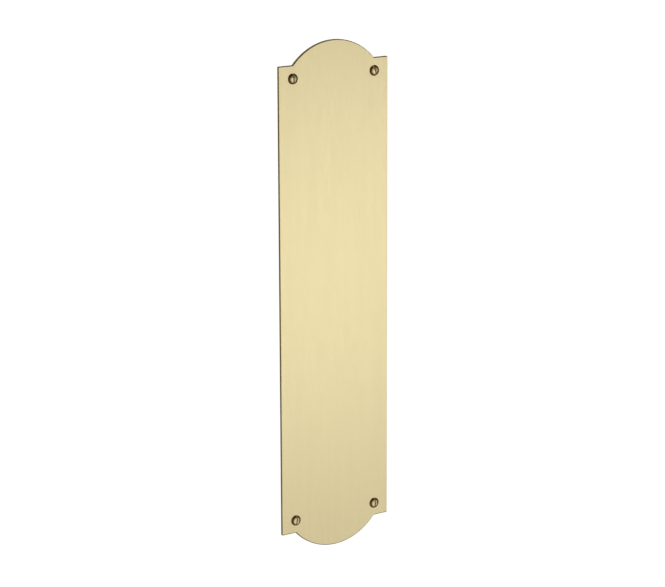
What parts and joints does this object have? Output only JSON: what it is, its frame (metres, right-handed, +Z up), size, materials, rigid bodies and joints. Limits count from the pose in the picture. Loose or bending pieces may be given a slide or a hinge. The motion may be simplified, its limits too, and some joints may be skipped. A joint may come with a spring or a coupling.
{
  "type": "door finger plate",
  "caption": "Long flat door finger plate of satin brass with square shoulders and a round crown at each end, fixed near its corners by raised countersunk slotted screws.",
  "frame": {"origin": "centre of the plate's flat back face, which lies against the door", "axes": "+Z up the plate along its length, +X to the right of someone facing its front, +Y into the door; the front faces -Y"},
  "size_m": [0.077, 0.0136, 0.305],
  "materials": {
    "plate_brass": "satin, finely brushed along the length",
    "screw_brass": "polished, a little darkened"
  },
  "bodies": {
    "root": {"finger_plate": "plate_brass", "fixing_screws": "screw_brass"}
  },
  "joints": []
}
